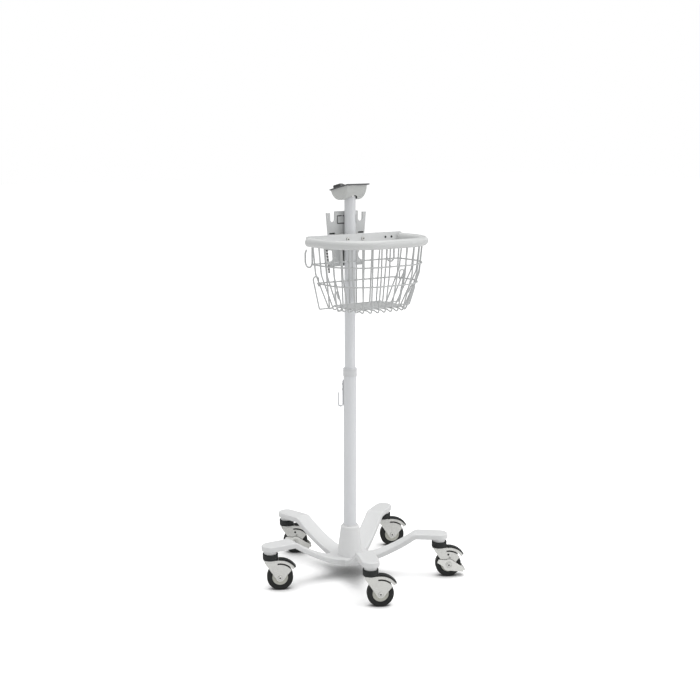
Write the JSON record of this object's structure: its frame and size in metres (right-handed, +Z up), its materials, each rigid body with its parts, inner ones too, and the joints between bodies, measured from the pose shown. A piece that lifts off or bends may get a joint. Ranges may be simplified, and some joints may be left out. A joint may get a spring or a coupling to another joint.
{
  "type": "patient monitor roll stand",
  "caption": "Wheeled roll stand for a patient monitor: gull-wing caster base, stepped pole, wire basket with a thick tube rim, rear bracket and tilting mounting head.",
  "frame": {"origin": "on the floor under the pole's axis", "axes": "+Z up along the pole; the basket's open front faces -Y and its back plate lies along X"},
  "size_m": [0.5829, 0.5736, 1.1483],
  "materials": {
    "white_casting": "white powder coat on cast aluminium",
    "white_paint": "white powder coat, satin",
    "wire_coat": "light grey powder coat on wire",
    "grey_housing": "mid grey textured powder coat",
    "grey_sheet": "mid grey powder coat on sheet steel",
    "dark_plate": "dark grey satin",
    "block_plastic": "black moulded plastic",
    "button_plastic": "grey moulded plastic",
    "band_plastic": "charcoal moulded plastic",
    "zinc_steel": "bright zinc plated stamping",
    "bolt_steel": "plated steel",
    "hub_plastic": "cream grey moulded polyamide",
    "tyre_rubber": "soft black rubber",
    "cover_plastic": "white moulded cover",
    "collar_plastic": "white moulded collar",
    "bush_plastic": "dark acetal",
    "shoe_rubber": "black brake lining",
    "bearing_steel": "polished balls"
  },
  "bodies": {
    "root": {"base_casting": "white_casting", "base_fastening": "bolt_steel", "basket_back_plate": "wire_coat", "basket_back_wires": "wire_coat", "basket_floor_wires": "wire_coat", "basket_hooks": "wire_coat", "basket_rim": "white_paint", "basket_rings": "wire_coat", "basket_wall_wires": "wire_coat", "cable_loops": "wire_coat", "caster_stems": "zinc_steel", "clamp_block": "grey_housing", "clamp_bolts": "bolt_steel", "head_yoke": "bolt_steel", "hook_screws": "bolt_steel", "hub_cover": "cover_plastic", "lower_pole": "white_paint", "pole_bushes": "bush_plastic", "pole_collar": "collar_plastic", "pole_hook": "white_paint", "rear_bracket": "grey_sheet", "spring_clips": "block_plastic", "swivel_balls": "bearing_steel", "tilt_pin": "bolt_steel", "upper_pole": "white_paint"},
    "head": {"head_housing": "grey_housing", "head_plate": "dark_plate", "mount_block": "block_plastic", "head_screws": "bolt_steel", "tilt_bracket": "grey_sheet"},
    "latch": {"latch_button": "button_plastic"},
    "swivel_1": {"caster_fork_1": "zinc_steel", "swivel_cover_1": "band_plastic", "wheel_axle_1": "bolt_steel"},
    "wheel_1": {"wheel_hub_1": "hub_plastic", "tyre_1": "tyre_rubber"},
    "swivel_2": {"caster_fork_2": "zinc_steel", "swivel_cover_2": "band_plastic", "wheel_axle_2": "bolt_steel"},
    "wheel_2": {"wheel_hub_2": "hub_plastic", "tyre_2": "tyre_rubber"},
    "swivel_3": {"caster_fork_3": "zinc_steel", "swivel_cover_3": "band_plastic", "wheel_axle_3": "bolt_steel"},
    "wheel_3": {"wheel_hub_3": "hub_plastic", "tyre_3": "tyre_rubber"},
    "swivel_4": {"caster_fork_4": "zinc_steel", "swivel_cover_4": "band_plastic", "wheel_axle_4": "bolt_steel"},
    "wheel_4": {"wheel_hub_4": "hub_plastic", "tyre_4": "tyre_rubber"},
    "swivel_5": {"caster_fork_5": "zinc_steel", "swivel_cover_5": "band_plastic", "wheel_axle_5": "bolt_steel"},
    "wheel_5": {"wheel_hub_5": "hub_plastic", "tyre_5": "tyre_rubber"},
    "pedal_1": {"brake_pedal_1": "zinc_steel"},
    "shoe_1": {"brake_shoe_1": "shoe_rubber"},
    "pedal_3": {"brake_pedal_3": "zinc_steel"},
    "shoe_3": {"brake_shoe_3": "shoe_rubber"}
  },
  "joints": [
    {"name": "head_tilt", "type": "hinge", "parent": "root", "child": "head", "pos_m": [0, 0, 1.124], "axis": [1, 0, 0], "range_deg": [0, 15]},
    {"name": "latch_press", "type": "slide", "parent": "head", "child": "latch", "axis": [0, 0.9781, -0.2079], "range_m": [0, 0.0022], "stiffness_N_per_m": 600, "springref_m": -0.003},
    {"name": "swivel_1_turn", "type": "hinge", "parent": "root", "child": "swivel_1", "pos_m": [0.19613, -0.17597, 0.0943], "axis": [0, 0, 1], "continuous": true},
    {"name": "wheel_1_roll", "type": "hinge", "parent": "swivel_1", "child": "wheel_1", "pos_m": [0.21915, -0.19008, 0.0375], "axis": [0.5225, 0.8526, 0], "continuous": true},
    {"name": "pedal_1_rock", "type": "hinge", "parent": "swivel_1", "child": "pedal_1", "pos_m": [0.21915, -0.19008, 0.0375], "axis": [-0.5225, -0.8526, 0], "range_deg": [0, 25]},
    {"name": "shoe_1_lift", "type": "slide", "parent": "swivel_1", "child": "shoe_1", "axis": [0.2207, -0.1352, 0.9659], "range_m": [0, 0.0012]},
    {"name": "swivel_2_turn", "type": "hinge", "parent": "root", "child": "swivel_2", "pos_m": [0.22797, 0.13215, 0.0943], "axis": [0, 0, 1], "continuous": true},
    {"name": "wheel_2_roll", "type": "hinge", "parent": "swivel_2", "child": "wheel_2", "pos_m": [0.25099, 0.11804, 0.0375], "axis": [0.5225, 0.8526, 0], "continuous": true},
    {"name": "swivel_3_turn", "type": "hinge", "parent": "root", "child": "swivel_3", "pos_m": [-0.05523, 0.25765, 0.0943], "axis": [0, 0, 1], "continuous": true},
    {"name": "wheel_3_roll", "type": "hinge", "parent": "swivel_3", "child": "wheel_3", "pos_m": [-0.03221, 0.24354, 0.0375], "axis": [0.5225, 0.8526, 0], "continuous": true},
    {"name": "pedal_3_rock", "type": "hinge", "parent": "swivel_3", "child": "pedal_3", "pos_m": [-0.03221, 0.24354, 0.0375], "axis": [-0.5225, -0.8526, 0], "range_deg": [0, 25]},
    {"name": "shoe_3_lift", "type": "slide", "parent": "swivel_3", "child": "shoe_3", "axis": [0.2207, -0.1352, 0.9659], "range_m": [0, 0.0012]},
    {"name": "swivel_4_turn", "type": "hinge", "parent": "root", "child": "swivel_4", "pos_m": [-0.2621, 0.02709, 0.0943], "axis": [0, 0, 1], "continuous": true},
    {"name": "wheel_4_roll", "type": "hinge", "parent": "swivel_4", "child": "wheel_4", "pos_m": [-0.23908, 0.01298, 0.0375], "axis": [0.5225, 0.8526, 0], "continuous": true},
    {"name": "swivel_5_turn", "type": "hinge", "parent": "root", "child": "swivel_5", "pos_m": [-0.10676, -0.24091, 0.0943], "axis": [0, 0, 1], "continuous": true},
    {"name": "wheel_5_roll", "type": "hinge", "parent": "swivel_5", "child": "wheel_5", "pos_m": [-0.08373, -0.25501, 0.0375], "axis": [0.5225, 0.8526, 0], "continuous": true}
  ],
  "couplings": [
    {"joint": "shoe_1_lift", "follows": "pedal_1_rock", "m_per_rad": 0.00274},
    {"joint": "shoe_3_lift", "follows": "pedal_3_rock", "m_per_rad": 0.00274}
  ]
}
